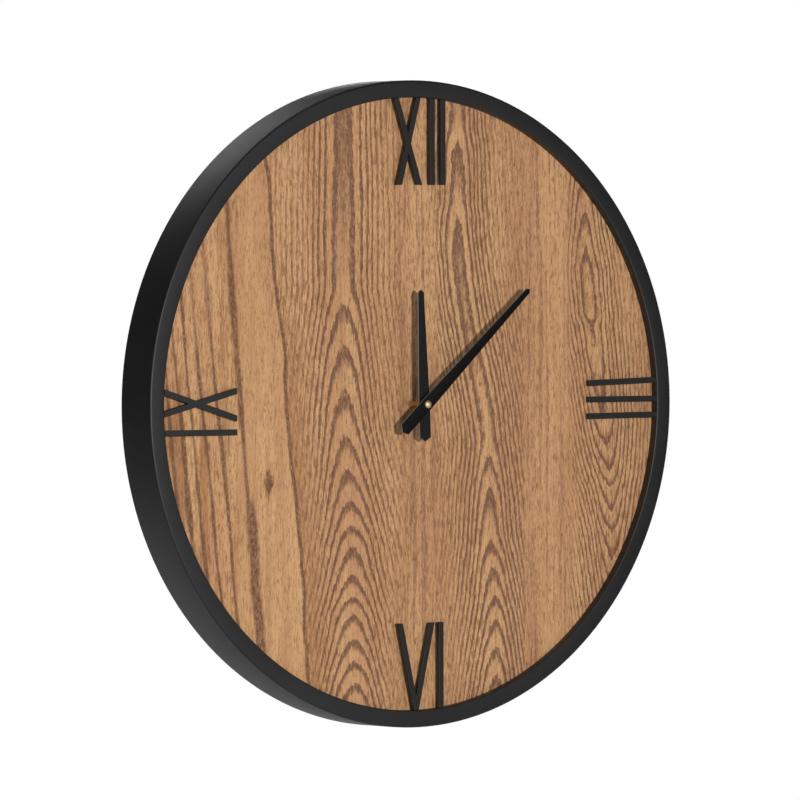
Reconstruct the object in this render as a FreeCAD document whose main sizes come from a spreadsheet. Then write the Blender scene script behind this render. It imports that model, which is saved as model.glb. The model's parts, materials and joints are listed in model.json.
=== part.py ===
import FreeCAD, Part
import math
import os
import re
import Sketcher

# Round wall clock: a wood dial in a black sheet-steel hoop, with four welded numerals and a
# quartz movement behind. The pieces are made on a bench, with the clock lying on its back:
# X to the right, Y towards the twelve and Z up off the wall plane. Each finished piece is then
# stood up, so that in the part's frame Z is up and the dial faces -Y. The origin is where the
# dial's axis meets the wall.

DRIVING_SIZES = {
    # Hoop
    "rim_radius": 300.0,
    "rim_depth": 46.0,
    "rim_flange": 16.0,
    "rim_recess": 8.5,
    "rim_outer_round": 2.0,
    "rim_inner_round": 1.4,
    "sheet_gauge": 1.5,
    # Dial
    "board_radius": 297.5,
    "board_back": 30.9,
    "board_bore": 4.1,
    "veneer_gauge": 0.6,
    "left_seam_top": -170.0,
    "left_seam_bottom": -112.0,
    "right_seam": 132.0,
    "leaf_overhang": 10.0,
    # Board tabs and their screws
    "tab_count": 6,
    "tab_reach": 16.0,
    "tab_leg": 12.0,
    "tab_arc": 4.5,
    "tab_screw_ring": 289.0,
    "screw_shank": 1.5,
    "screw_head": 3.2,
    "screw_crown": 2.4,
    "screw_slot_arm": 1.6,
    "screw_slot_half": 0.4,
    "screw_slot_depth": 1.0,
    "screw_head_height": 2.0,
    "screw_bite": 4.5,
    # Hanger
    "hanger_low": 3.0,
    "hanger_width": 44.0,
    "hanger_foot": 258.0,
    "keyhole_centre": 272.0,
    "keyhole_radius": 4.5,
    "keyhole_slot": 4.5,
    "keyhole_travel": 9.0,
    # Numerals
    "bar_width": 5.5,
    "bar_gauge": 4.0,
    "numeral_foot": 203.0,
    # Hands
    "hand_gauge": 2.0,
    "hand_tip_point": 2.6,
    "hand_tail_point": 3.9,
    "hour_low": 57.2,
    "hour_reach": 106.0,
    "hour_tail": 34.5,
    "hour_hub_half": 6.2,
    "hour_tip_half": 3.1,
    "hour_turn": 2.0,
    "minute_low": 62.2,
    "minute_reach": 159.5,
    "minute_tail": 38.5,
    "minute_hub_half": 6.1,
    "minute_tip_half": 2.6,
    "minute_turn": -48.3,
    "hour_collar_height": 14.0,
    "minute_collar_height": 2.4,
    "collar_wall": 0.5,
    "cap_radius": 3.6,
    "cap_skirt": 0.8,
    "cap_dome": 2.0,
    # Centre stack, from the inside out
    "running_gap": 0.05,
    "centre_arbor": 0.5,
    "centre_tube": 1.0,
    "minute_pipe": 1.6,
    "hour_pipe": 2.55,
    "bush_radius": 3.95,
    "bush_top": 37.0,
    "bush_flange": 5.5,
    "bush_flange_gauge": 0.8,
    "washer_radius": 11.0,
    "minute_pipe_top": 65.6,
    "centre_tube_top": 29.0,
    "centre_arbor_top": 40.0,
    # Movement case
    "case_half_width": 28.0,
    "case_top": 27.0,
    "case_bottom": -30.5,
    "case_front_face": 29.9,
    "case_back_face": 13.4,
    "case_wall": 1.5,
    "bay_wall_top": -12.9,
    "bay_wall": 1.0,
    "ear_reach": 8.0,
    "ear_half_width": 5.0,
    "web_reach": 2.0,
    "web_width": 1.0,
    "hole_depth": 0.8,
    "post_radius": 1.5,
    "post_x": 24.5,
    "post_high_y": 13.0,
    "post_low_y": -10.8,
    "step_post_short": 0.1,
    # Levels of the train off the wall plane
    "first_level": 15.6,
    "second_level": 16.9,
    "third_level": 18.4,
    "fourth_level": 20.0,
    "wheel_gauge": 0.8,
    "plate_level": 21.6,
    "plate_gauge": 0.8,
    "plate_half": 26.0,
    "plate_near": -12.4,
    "plate_far": 16.3,
    "pad_radius": 1.0,
    "pad_height": 0.4,
    "pad_y": 14.0,
    "pad_left_x": -24.0,
    "pad_right_x": -15.0,
    "circuit_left": -25.5,
    "circuit_right": -13.0,
    "circuit_near": 12.6,
    "circuit_far": 24.6,
    "circuit_gauge": 1.0,
    "chip_x": -17.0,
    "chip_y": 17.0,
    "chip_radius": 2.4,
    "chip_foot": 0.6,
    "chip_crown": 1.6,
    "chip_height": 1.0,
    "crystal_radius": 1.0,
    "crystal_length": 6.0,
    "crystal_x": -22.5,
    "crystal_y": 15.0,
    "motion_level": 23.0,
    "motion_gauge": 1.6,
    "hour_level": 25.3,
    "hour_gauge": 1.2,
    # Arbor places
    "motion_x": 13.2,
    "third_x": -12.24,
    "step_y": 10.5,
    "rotor_x": 6.24,
    "rotor_y": 14.1,
    "pivot": 0.5,
    "pivot_depth": 0.7,
    "pivot_short": 0.1,
    "hub_clearance": 0.3,
    "setting_stem": 1.25,
    "stem_reach": 2.4,
    "motion_pivot_top": 29.0,
    "cannon_bore_top": 42.0,
    # Wheels' hubs, and the inner and outer radii of their windows
    "arbor_hub": 0.85,
    "step_hub": 1.1,
    "motion_hub": 1.9,
    "spoke_count": 5,
    "spoke_width": 1.2,
    "window_in": 2.9,
    "step_window_in": 2.4,
    "step_window_out": 4.9,
    "seconds_window_out": 7.6,
    "third_window_out": 9.2,
    "centre_window_out": 9.4,
    "hour_window_in": 4.2,
    "hour_window_out": 8.8,
    # Setting knob
    "knob_gap": 0.4,
    "knob_height": 3.0,
    "knob_radius": 5.0,
    "knob_scallops": 12,
    "knob_scallop": 0.8,
    "knob_scallop_ring": 5.3,
    # Motor
    "magnet_radius": 3.0,
    "magnet_height": 2.4,
    "magnet_level": 18.4,
    "stator_level": 19.3,
    "stator_gauge": 0.6,
    "stator_bore": 3.5,
    "stator_rim": 1.2,
    "stator_half": 16.0,
    "stator_leg": 4.0,
    "stator_width": 5.0,
    "stator_edge": 12.0,
    "leg_past_coil": 1.5,
    "rotor_shaft": 0.8,
    "shaft_past_magnet": 0.3,
    "core_half": 15.5,
    "core_half_width": 1.2,
    "core_gauge": 1.0,
    "spool_cheek": 0.8,
    "coil_y": 22.1,
    "coil_half": 10.0,
    "spool_radius": 1.9,
    "winding_radius": 2.9,
    "spool_flange": 3.2,
    # Battery
    "battery_radius": 7.25,
    "battery_y": -21.5,
    "battery_level": 20.95,
    "battery_half": 25.2,
    "button_height": 1.3,
    "button_radius": 2.75,
    "strip_half": 5.0,
    "strip_below": 4.5,
    "strip_above": 6.0,
    "strip_gauge": 0.5,
    "dimple_radius": 1.6,
    "spring_radius": 3.2,
}

# Strokes of the numerals: how far across the dial each stroke's centre line stands at its free
# end and at the hoop, to the right of the axis for twelve and six and above it for three and
# nine, and how many strokes make one welded piece.
NUMERALS = {
    "numeral_twelve_cross": ("top", [(5.1, -21.5), (-18.1, 3.8)]),
    "numeral_twelve_near_bar": ("top", [(19.9, 19.9)]),
    "numeral_twelve_far_bar": ("top", [(32.2, 32.2)]),
    "numeral_three_top_bar": ("right", [(17.0, 19.5)]),
    "numeral_three_middle_bar": ("right", [(1.7, 1.7)]),
    "numeral_three_low_bar": ("right", [(-14.0, -13.4)]),
    "numeral_six_vee": ("foot", [(-18.5, -0.5), (18.0, -0.5)]),
    "numeral_six_bar": ("foot", [(28.3, 28.3)]),
    "numeral_nine_cross": ("left", [(-10.6, 14.4), (14.5, -6.0)]),
    "numeral_nine_bar": ("left", [(-23.2, -23.2)]),
}

# Teeth and module of each mesh in the train. The two gears of a mesh share its module.
TEETH = {
    "rotor_teeth": 12, "step_wheel_teeth": 60, "rotor_module": 0.2,
    "step_pinion_teeth": 10, "seconds_wheel_teeth": 60, "step_module": 0.3,
    "seconds_pinion_teeth": 8, "third_wheel_teeth": 60, "seconds_module": 0.36,
    "third_pinion_teeth": 8, "centre_wheel_teeth": 64, "third_module": 0.34,
    "cannon_teeth": 12, "motion_wheel_teeth": 36, "cannon_module": 0.55,
    "motion_pinion_teeth": 10, "hour_wheel_teeth": 40, "hour_module": 0.528,
}

# Tooth forms. Heights are in modules, and half widths are shares of the tooth pitch. Pinions are
# those with fewer teeth than the smallest wheel.
SMALLEST_WHEEL = 20
PINION_TOOTH = {"tip": 0.55, "root": 1.15, "tip_half": 0.10, "root_half": 0.17}
WHEEL_TOOTH = {"tip": 0.85, "root": 1.0, "tip_half": 0.07, "root_half": 0.26}
# How far a pinion stands past its partner's faces, and how far a cutter runs past the work.
PINION_PROUD = 0.2
CANNON_PROUD = 0.1
OVERCUT = 1.0

doc = FreeCAD.newDocument("WallClock")
sheet = doc.addObject("Spreadsheet::Sheet", "Sizes")
aliases = set()
pieces = {}


# ---------------------------------------------------------------- sheet and small helpers

def fill_sheet():
    cells = dict(DRIVING_SIZES)
    cells.update(TEETH)
    for name, (side, strokes) in NUMERALS.items():
        for number, (free_end, hoop_end) in enumerate(strokes, start=1):
            cells[stroke_cell(name, number, "free")] = free_end
            cells[stroke_cell(name, number, "hoop")] = hoop_end
    for row, (alias, value) in enumerate(cells.items(), start=1):
        sheet.set(f"A{row}", alias)
        sheet.set(f"B{row}", str(value))
        sheet.setAlias(f"B{row}", alias)
        aliases.add(alias)
    doc.recompute()


def stroke_cell(name, number, end):
    return f"{name}_stroke_{'ab'[number - 1]}_{end}"


def size(alias):
    """The sheet's value as a plain number, for shapes that Part's own functions make."""
    return float(sheet.get(alias))


def on_sheet(text):
    """Put the sheet's name before each alias in an expression."""
    def named(match):
        word = match.group(0)
        return f"Sizes.{word}" if word in aliases else word
    return re.sub(r"[a-z_]+", named, str(text))


def bind(obj, **expressions):
    for prop, text in expressions.items():
        obj.setExpression(prop, on_sheet(text))
    return obj


def place(obj, x="0", y="0", z="0"):
    for axis, text in zip("xyz", (x, y, z)):
        obj.setExpression(f"Placement.Base.{axis}", on_sheet(text))
    return obj


def cylinder(radius, low, high, x="0", y="0"):
    """A round bar standing on the bench, between two levels."""
    bar = doc.addObject("Part::Cylinder", "RoundBar")
    bind(bar, Radius=radius, Height=f"({high}) - ({low})")
    return place(bar, x, y, low)


def lying_cylinder(radius, left, right, y, level):
    """A round bar lying along X."""
    bar = doc.addObject("Part::Cylinder", "LyingBar")
    bar.Placement.Rotation = FreeCAD.Rotation(FreeCAD.Vector(0, 1, 0), 90)
    bind(bar, Radius=radius, Height=f"({right}) - ({left})")
    return place(bar, left, y, level)


def block(left, right, near, far, low, high):
    """A box between three pairs of faces."""
    box = doc.addObject("Part::Box", "Block")
    bind(box, Length=f"({right}) - ({left})", Width=f"({far}) - ({near})",
         Height=f"({high}) - ({low})")
    return place(box, left, near, low)


def fuse(*shapes):
    joined = doc.addObject("Part::MultiFuse", "Joined")
    joined.Shapes = list(shapes)
    return joined


def cut(base, *tools):
    """Take each tool away from the base."""
    for tool in tools:
        left_over = doc.addObject("Part::Cut", "Cut")
        left_over.Base = base
        left_over.Tool = tool
        base = left_over
    return base


def common(first, second):
    shared = doc.addObject("Part::Common", "Shared")
    shared.Base = first
    shared.Tool = second
    return shared


def tube(outer, inner, low, high, x="0", y="0"):
    return cut(cylinder(outer, low, high, x, y),
               cylinder(inner, f"({low}) - 1", f"({high}) + 1", x, y))


def polygon(sketch, corners):
    """Draw a closed outline whose corners are bound to pairs of expressions."""
    count = len(corners)
    spots = [FreeCAD.Vector(math.cos(2 * math.pi * i / count), math.sin(2 * math.pi * i / count), 0)
             for i in range(count)]
    first = sketch.GeometryCount
    for i in range(count):
        sketch.addGeometry(Part.LineSegment(spots[i], spots[(i + 1) % count]), False)
    for i in range(count):
        following = first + (i + 1) % count
        sketch.addConstraint(Sketcher.Constraint("Coincident", first + i, 2, following, 1))
    for i, (x, y) in enumerate(corners):
        for kind, text, start in (("DistanceX", x, spots[i].x), ("DistanceY", y, spots[i].y)):
            datum = sketch.addConstraint(Sketcher.Constraint(kind, -1, 1, first + i, 1, start))
            sketch.setExpression(f"Constraints[{datum}]", on_sheet(text))


def circle(sketch, radius, x="0", y="0"):
    centre = FreeCAD.Vector(1, 1, 0)
    ring = sketch.addGeometry(Part.Circle(centre, FreeCAD.Vector(0, 0, 1), 1), False)
    bounds = (("Radius", (ring, 1.0), radius), ("DistanceX", (-1, 1, ring, 3, 1.0), x),
              ("DistanceY", (-1, 1, ring, 3, 1.0), y))
    for kind, arguments, text in bounds:
        datum = sketch.addConstraint(Sketcher.Constraint(kind, *arguments))
        sketch.setExpression(f"Constraints[{datum}]", on_sheet(text))


def plate(corners, low, high):
    """A flat plate of the given outline between two levels."""
    sketch = doc.addObject("Sketcher::SketchObject", "Outline")
    polygon(sketch, corners)
    place(sketch, z=low)
    slab = doc.addObject("Part::Extrusion", "Plate")
    slab.Base = sketch
    slab.DirMode = "Custom"
    slab.Dir = FreeCAD.Vector(0, 0, 1)
    slab.Solid = True
    bind(slab, LengthFwd=f"({high}) - ({low})")
    return slab


def body_sketch(body, role, lift="0"):
    """A sketch on one of the body's own origin planes, raised along that plane's normal."""
    sketch = body.newObject("Sketcher::SketchObject", "Profile")
    plane = next(f for f in body.Origin.OriginFeatures if f.Role == role)
    sketch.AttachmentSupport = (plane, [""])
    sketch.MapMode = "FlatFace"
    sketch.setExpression("AttachmentOffset.Base.z", on_sheet(lift))
    return sketch


def pad(body, low, high):
    """Start a pad between two levels. The sketch's outline is drawn afterwards."""
    sketch = body_sketch(body, "XY_Plane", low)
    feature = body.newObject("PartDesign::Pad", "Pad")
    feature.Profile = sketch
    bind(feature, Length=f"({high}) - ({low})")
    return sketch


def pocket(body, low, high):
    """Start a pocket that removes what lies between two levels."""
    sketch = body_sketch(body, "XY_Plane", low)
    feature = body.newObject("PartDesign::Pocket", "Pocket")
    feature.Profile = sketch
    feature.Reversed = True
    bind(feature, Length=f"({high}) - ({low})")
    return sketch


def stand_up(label, obj, turn=0.0):
    """Name a finished piece, turn it about the dial's axis and stand it up off the bench."""
    holder = doc.addObject("Part::Compound", "Piece")
    holder.Links = [obj]
    holder.Label = label
    upright = FreeCAD.Rotation(FreeCAD.Vector(1, 0, 0), 90)
    turned = FreeCAD.Rotation(FreeCAD.Vector(0, 0, 1), turn)
    holder.Placement = FreeCAD.Placement(FreeCAD.Vector(0, 0, 0), upright.multiply(turned))
    pieces[label] = holder
    return holder


def shape_feature(shape):
    """Hold a shape made by Part's own functions."""
    feature = doc.addObject("Part::Feature", "Formed")
    feature.Shape = shape
    return feature


# ---------------------------------------------------------------- hoop, dial and numerals

def rim_channel():
    """Hoop of folded sheet: an outer band, a front flange and a lip turned back to the dial."""
    body = doc.addObject("PartDesign::Body", "RimBody")
    sketch = body_sketch(body, "XZ_Plane")
    flange_edge = "rim_radius - rim_flange"
    polygon(sketch, [
        ("rim_radius - sheet_gauge", "0"),
        ("rim_radius", "0"),
        ("rim_radius", "rim_depth"),
        (flange_edge, "rim_depth"),
        (flange_edge, "rim_depth - rim_recess"),
        (f"{flange_edge} + sheet_gauge", "rim_depth - rim_recess"),
        (f"{flange_edge} + sheet_gauge", "rim_depth - sheet_gauge"),
        ("rim_radius - sheet_gauge", "rim_depth - sheet_gauge"),
    ])
    turned = body.newObject("PartDesign::Revolution", "Rolled")
    turned.Profile = sketch
    turned.ReferenceAxis = (sketch, ["V_Axis"])
    turned.Angle = 360.0
    doc.recompute()
    feature = turned
    front = size("rim_depth")
    folds = (("rim_outer_round", size("rim_radius")),
             ("rim_inner_round", size("rim_radius") - size("rim_flange")))
    for rounding, radius in folds:
        fold = body.newObject("PartDesign::Fillet", "Fold")
        fold.Base = (feature, [edge_at(feature, radius, front)])
        bind(fold, Radius=rounding)
        doc.recompute()
        feature = fold
    body.Tip = feature
    stand_up("rim_channel", body)


def edge_at(feature, radius, level):
    """The name of the circular edge of this radius at this level."""
    for number, edge in enumerate(feature.Shape.Edges, start=1):
        curve = edge.Curve
        if isinstance(curve, Part.Circle) and abs(curve.Radius - radius) < 1e-4:
            if abs(curve.Center.z - level) < 1e-4:
                return f"Edge{number}"
    raise ValueError(f"no edge of radius {radius} at {level}")


def dial_board():
    """Fibreboard disc with the movement's bore and pilot holes for the screws."""
    body = doc.addObject("PartDesign::Body", "BoardBody")
    front = "rim_depth - rim_recess - veneer_gauge"
    circle(pad(body, "board_back", front), "board_radius")
    circle(pocket(body, "board_back", front), "board_bore")
    pilots = pocket(body, "board_back", "board_back + screw_bite")
    for number in range(int(size("tab_count"))):
        angle = tab_angle(number)
        circle(pilots, "screw_shank", f"tab_screw_ring * cos({angle} deg)",
               f"tab_screw_ring * sin({angle} deg)")
    for side in ("-1", "1"):
        circle(pilots, "screw_shank", f"{side} * (case_half_width + ear_reach / 2)", "0")
    stand_up("dial_board", body)


def tab_angle(number):
    count = int(size("tab_count"))
    return 360 / count * (number + 0.5)


def veneer_leaves():
    """Three leaves of ash veneer, jointed edge to edge."""
    level = "rim_depth - rim_recess"
    low = f"{level} - veneer_gauge"
    reach = "board_radius"
    edge = f"{reach} + leaf_overhang"
    outlines = {
        "veneer_left_leaf": [(f"-({edge})", f"-{reach}"), ("left_seam_bottom", f"-{reach}"),
                             ("left_seam_top", reach), (f"-({edge})", reach)],
        "veneer_middle_leaf": [("left_seam_bottom", f"-{reach}"), ("right_seam", f"-{reach}"),
                               ("right_seam", reach), ("left_seam_top", reach)],
        "veneer_right_leaf": [("right_seam", f"-{reach}"), (edge, f"-{reach}"),
                              (edge, reach), ("right_seam", reach)],
    }
    for label, corners in outlines.items():
        leaf = common(plate(corners, low, level), cylinder(reach, low, level))
        if label == "veneer_middle_leaf":
            leaf = cut(leaf, cylinder("board_bore", low, level))
        stand_up(label, leaf)


def stroke(side, name, number):
    """One straight stroke of a numeral, with both ends cut square to the numeral."""
    free_end = stroke_cell(name, number, "free")
    hoop_end = stroke_cell(name, number, "hoop")
    reach = "(rim_radius - rim_flange)"
    corners = []
    for across, along in ((free_end, "numeral_foot"), (hoop_end, reach)):
        pair = [f"{across} - bar_width / 2", f"{across} + bar_width / 2"]
        if along == reach:
            pair.reverse()
        corners += [(text, along) for text in pair]
    if side == "foot":
        corners = [(across, f"-{along}") for across, along in corners]
    if side == "right":
        corners = [(along, across) for across, along in corners]
    if side == "left":
        corners = [(f"-{along}", across) for across, along in corners]
    return plate(corners, "rim_depth - bar_gauge", "rim_depth")


def numerals():
    for name, (side, strokes) in NUMERALS.items():
        bars = [stroke(side, name, number) for number in range(1, len(strokes) + 1)]
        whole = fuse(*bars) if len(bars) > 1 else bars[0]
        inside = cylinder("rim_radius - rim_flange", "rim_depth - bar_gauge", "rim_depth")
        stand_up(name, common(whole, inside))


def board_tabs():
    """Welded angle tabs inside the hoop that hold the board against the lip."""
    inner = size("rim_radius") - size("sheet_gauge")
    gauge = size("sheet_gauge")
    top = size("board_back")
    low = top - gauge - size("tab_leg")
    reach = inner - size("tab_reach")
    outline = [(inner, low), (inner, top), (reach, top), (reach, top - gauge),
               (inner - gauge, top - gauge), (inner - gauge, low)]
    corners = [FreeCAD.Vector(x, 0, z) for x, z in outline]
    face = Part.Face(Part.makePolygon(corners + corners[:1]))
    up = FreeCAD.Vector(0, 0, 1)
    tabs = []
    for number in range(int(size("tab_count"))):
        angle = tab_angle(number)
        tab = face.revolve(FreeCAD.Vector(0, 0, 0), up, size("tab_arc"))
        tab.rotate(FreeCAD.Vector(0, 0, 0), up, angle - size("tab_arc") / 2)
        hole = Part.makeCylinder(size("screw_shank"), gauge, screw_spot(number, top - gauge))
        tabs.append(tab.cut(hole))
    stand_up("board_tabs", shape_feature(Part.makeCompound(tabs)))


def screw_spot(number, level):
    angle = math.radians(tab_angle(number))
    ring = size("tab_screw_ring")
    return FreeCAD.Vector(ring * math.cos(angle), ring * math.sin(angle), level)


def pan_screw(spot):
    """A pan-head screw that points towards the dial, its head's bearing face at the spot."""
    shank_length = size("sheet_gauge") + size("screw_bite")
    shank = Part.makeCylinder(size("screw_shank"), shank_length, spot)
    below = spot - FreeCAD.Vector(0, 0, size("screw_head_height"))
    head = Part.makeCone(size("screw_crown"), size("screw_head"), size("screw_head_height"), below)
    arm, half = size("screw_slot_arm"), size("screw_slot_half")
    slots = [Part.makeBox(2 * a, 2 * b, size("screw_slot_depth"), below - FreeCAD.Vector(a, b, 0))
             for a, b in ((arm, half), (half, arm))]
    return shank.fuse(head).cut(slots[0]).cut(slots[1])


def board_screws():
    level = size("board_back") - size("sheet_gauge")
    screws = [pan_screw(screw_spot(number, level)) for number in range(int(size("tab_count")))]
    stand_up("board_screws", shape_feature(Part.makeCompound(screws)))


def movement_screws():
    """Two screws that hold the movement's ears to the board."""
    level = size("board_back") - size("sheet_gauge")
    offset = size("case_half_width") + size("ear_reach") / 2
    screws = [pan_screw(FreeCAD.Vector(side * offset, 0, level)) for side in (-1, 1)]
    stand_up("movement_screws", shape_feature(Part.makeCompound(screws)))


def hanger_plate():
    """Keyhole plate welded across the inside of the hoop at the top."""
    low, high = "hanger_low", "hanger_low + sheet_gauge"
    half = "hanger_width / 2"
    edge = "rim_radius"
    outline = plate([(f"-{half}", "hanger_foot"), (half, "hanger_foot"), (half, edge),
                     (f"-{half}", edge)], low, high)
    inside = common(outline, cylinder("rim_radius - sheet_gauge", low, high))
    slot_half = "keyhole_slot / 2"
    end = "keyhole_centre + keyhole_travel"
    slot = block(f"-{slot_half}", slot_half, "keyhole_centre", end, low, high)
    slot_end = cylinder(slot_half, low, high, "0", end)
    mouth = cylinder("keyhole_radius", low, high, "0", "keyhole_centre")
    stand_up("hanger_plate", cut(inside, mouth, slot, slot_end))


# ---------------------------------------------------------------- hands and centre stack

def hand(label, kind, bore):
    """A flat tapering hand with a pointed tip and a gabled tail, bored for its pipe."""
    low = f"{kind}_low"
    high = f"{kind}_low + hand_gauge"
    hub, tip = f"{kind}_hub_half", f"{kind}_tip_half"
    reach, tail = f"{kind}_reach", f"{kind}_tail"
    half_outline = [(tip, f"{reach} - hand_tip_point"), (hub, "0"),
                    (hub, f"-({tail} - hand_tail_point)")]
    corners = [("0", reach)] + half_outline + [("0", f"-{tail}")]
    corners += [(f"-{x}", y) for x, y in reversed(half_outline)]
    blade = plate(corners, low, high)
    stand_up(label, cut(blade, cylinder(bore, low, high)), size(f"{kind}_turn"))


def collars():
    """Brass collars under the hands, which grip the pipes."""
    outer = "hour_pipe + collar_wall"
    stand_up("hour_hand_collar", tube(outer, "hour_pipe", "hour_low - hour_collar_height",
                                      "hour_low"))
    outer = "minute_pipe + collar_wall"
    stand_up("minute_hand_collar", tube(outer, "minute_pipe", "minute_low - minute_collar_height",
                                        "minute_low"))


def cap_nut():
    """Domed brass nut that holds the minute hand on its pipe."""
    seat = "minute_low + hand_gauge"
    skirt = cylinder("cap_radius", seat, f"{seat} + cap_skirt")
    ball_radius = "(cap_radius ^ 2 + cap_dome ^ 2) / (2 * cap_dome)"
    ball = doc.addObject("Part::Sphere", "Ball")
    bind(ball, Radius=ball_radius)
    place(ball, z=f"{seat} + cap_skirt + cap_dome - {ball_radius}")
    dome_room = cylinder("cap_radius", f"{seat} + cap_skirt", f"{seat} + cap_skirt + cap_dome")
    dome = common(ball, dome_room)
    bore = cylinder("minute_pipe", seat, "minute_pipe_top")
    stand_up("cap_nut", cut(fuse(skirt, dome), bore))


def centre_bush():
    """Brass bush that carries the hour pipe through the board, flanged inside the case and
    ending just under the face of the dial."""
    inner_face = "case_front_face - case_wall"
    barrel = cylinder("bush_radius", inner_face, "bush_top")
    flange = cylinder("bush_flange", f"{inner_face} - bush_flange_gauge", inner_face)
    bore = cylinder("hour_pipe + running_gap", f"{inner_face} - 1", "bush_top + 1")
    stand_up("centre_bush", cut(fuse(barrel, flange), bore))


def rubber_washer():
    stand_up("rubber_washer", tube("washer_radius", "bush_radius", "case_front_face", "board_back"))


# ---------------------------------------------------------------- gears

def gear_outline(teeth, module, tooth_at):
    """Outline of a straight-flanked gear whose first tooth points at the angle tooth_at."""
    form = PINION_TOOTH if teeth < SMALLEST_WHEEL else WHEEL_TOOTH
    pitch_radius = teeth * module / 2
    tip_radius = pitch_radius + module * form["tip"]
    root_radius = pitch_radius - module * form["root"]
    pitch_angle = 2 * math.pi / teeth
    root_half = pitch_angle * form["root_half"]
    tip_half = pitch_angle * form["tip_half"]
    points = []
    for tooth in range(teeth):
        middle = math.radians(tooth_at) + tooth * pitch_angle
        for radius, offset in ((root_radius, -root_half), (tip_radius, -tip_half),
                               (tip_radius, tip_half), (root_radius, root_half)):
            angle = middle + offset
            points.append(FreeCAD.Vector(radius * math.cos(angle), radius * math.sin(angle), 0))
    return Part.Wire(Part.makePolygon(points + points[:1]).Edges)


def gear(mesh, which, x, y, low, high, partner_at, tooth_leads):
    """One toothed disc. A leading gear points a tooth at its partner, the other one a gap."""
    teeth = int(size(f"{which}_teeth"))
    tooth_at = partner_at if tooth_leads else partner_at + 180 / teeth
    disc = Part.Face(gear_outline(teeth, size(f"{mesh}_module"), tooth_at))
    solid = disc.extrude(FreeCAD.Vector(0, 0, high - low))
    solid.translate(FreeCAD.Vector(x, y, low))
    return solid


def rod(radius, low, high, x=0.0, y=0.0):
    return Part.makeCylinder(radius, high - low, FreeCAD.Vector(x, y, low))


def pivot_foot():
    """Where a pivot's lower end stands in its blind hole in the back cover."""
    return size("case_back_face") + size("case_wall") - size("pivot_depth")


def pivot_top():
    """Where a pivot's upper end stands in the train plate, just short of its face."""
    return size("plate_level") + size("plate_gauge") - size("pivot_short")


def hub_foot():
    """Where an arbor's thick part starts, clear of the back cover."""
    return size("case_back_face") + size("case_wall") + size("hub_clearance")


def stem_foot():
    """Where the setting stem ends inside the knob."""
    return size("case_back_face") - size("stem_reach")


def spoked(solid, x, y, low, high, inner, outer):
    """Cut windows between an inner and an outer radius, leaving straight-sided spokes."""
    windows, bridge = int(size("spoke_count")), size("spoke_width")
    ring = rod(outer, low, high, x, y).cut(rod(inner, low, high, x, y))
    for number in range(windows):
        spoke = Part.makeBox(outer + OVERCUT, bridge, high - low, FreeCAD.Vector(0, -bridge / 2, low))
        spoke.rotate(FreeCAD.Vector(0, 0, 0), FreeCAD.Vector(0, 0, 1), 360 / windows * number)
        spoke.translate(FreeCAD.Vector(x, y, 0))
        ring = ring.cut(spoke)
    return solid.cut(ring)


def direction(x_from, y_from, x_to, y_to):
    return math.degrees(math.atan2(y_to - y_from, x_to - x_from))


def stator_and_rotor():
    x, y = size("rotor_x"), size("rotor_y")
    level, gauge = size("stator_level"), size("stator_gauge")
    half, leg, low_edge = size("stator_half"), size("stator_leg"), size("stator_edge")
    bridge = Part.makeBox(2 * half, size("stator_width"), gauge, FreeCAD.Vector(-half, low_edge, level))
    lobe = rod(size("stator_bore") + size("stator_rim"), level, level + gauge, x, y)
    leg_length = size("coil_y") + size("leg_past_coil") - low_edge
    legs = [Part.makeBox(leg, leg_length, gauge, FreeCAD.Vector(left, low_edge, level))
            for left in (-half, half - leg)]
    hole = rod(size("stator_bore"), level, level + gauge, x, y)
    stator = bridge.fuse([lobe] + legs).cut(hole)
    stand_up("stator_plate", shape_feature(stator.removeSplitter()))
    low = size("magnet_level")
    high = low + size("magnet_height")
    shaft = size("rotor_shaft")
    magnet = rod(size("magnet_radius"), low, high, x, y)
    stand_up("rotor_magnet", shape_feature(magnet.cut(rod(shaft, low, high, x, y))))
    to_step = direction(x, y, 0, size("step_y"))
    foot = size("first_level") - PINION_PROUD
    pinion = gear("rotor", "rotor", x, y, foot, foot + size("wheel_gauge") + 2 * PINION_PROUD,
                  to_step, True)
    arbor = rod(shaft, foot, high + size("shaft_past_magnet"), x, y)
    pivots = rod(size("pivot"), pivot_foot(), pivot_top(), x, y)
    stand_up("rotor_pinion", shape_feature(pinion.fuse([arbor, pivots])))


def intermediate_wheel():
    """Wheel and pinion that turn on a post moulded in the back cover."""
    y = size("step_y")
    first, second, gauge = size("first_level"), size("second_level"), size("wheel_gauge")
    to_rotor = direction(0, y, size("rotor_x"), size("rotor_y"))
    wheel = gear("rotor", "step_wheel", 0, y, first, first + gauge, to_rotor, False)
    wheel = spoked(wheel, 0, y, first, first + gauge, size("step_window_in"), size("step_window_out"))
    top = second + gauge + PINION_PROUD
    pinion = gear("step", "step_pinion", 0, y, second - PINION_PROUD, top, -90, True)
    hub = rod(size("step_hub"), first, top, 0, y)
    bore = rod(size("pivot") + size("running_gap"), first - OVERCUT, top + OVERCUT, 0, y)
    stand_up("intermediate_wheel", shape_feature(wheel.fuse([pinion, hub]).cut(bore)))


def seconds_wheel():
    """Wheel and pinion on the long arbor that runs up the middle of the centre tube."""
    second, third, gauge = size("second_level"), size("third_level"), size("wheel_gauge")
    wheel = gear("step", "seconds_wheel", 0, 0, second, second + gauge, 90, False)
    wheel = spoked(wheel, 0, 0, second, second + gauge, size("window_in"), size("seconds_window_out"))
    top = third + gauge + PINION_PROUD
    pinion = gear("seconds", "seconds_pinion", 0, 0, third - PINION_PROUD, top, 180, True)
    hub = rod(size("arbor_hub"), hub_foot(), top)
    arbor = rod(size("centre_arbor"), pivot_foot(), size("centre_arbor_top"))
    stand_up("seconds_wheel", shape_feature(wheel.fuse([pinion, hub, arbor])))


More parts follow.
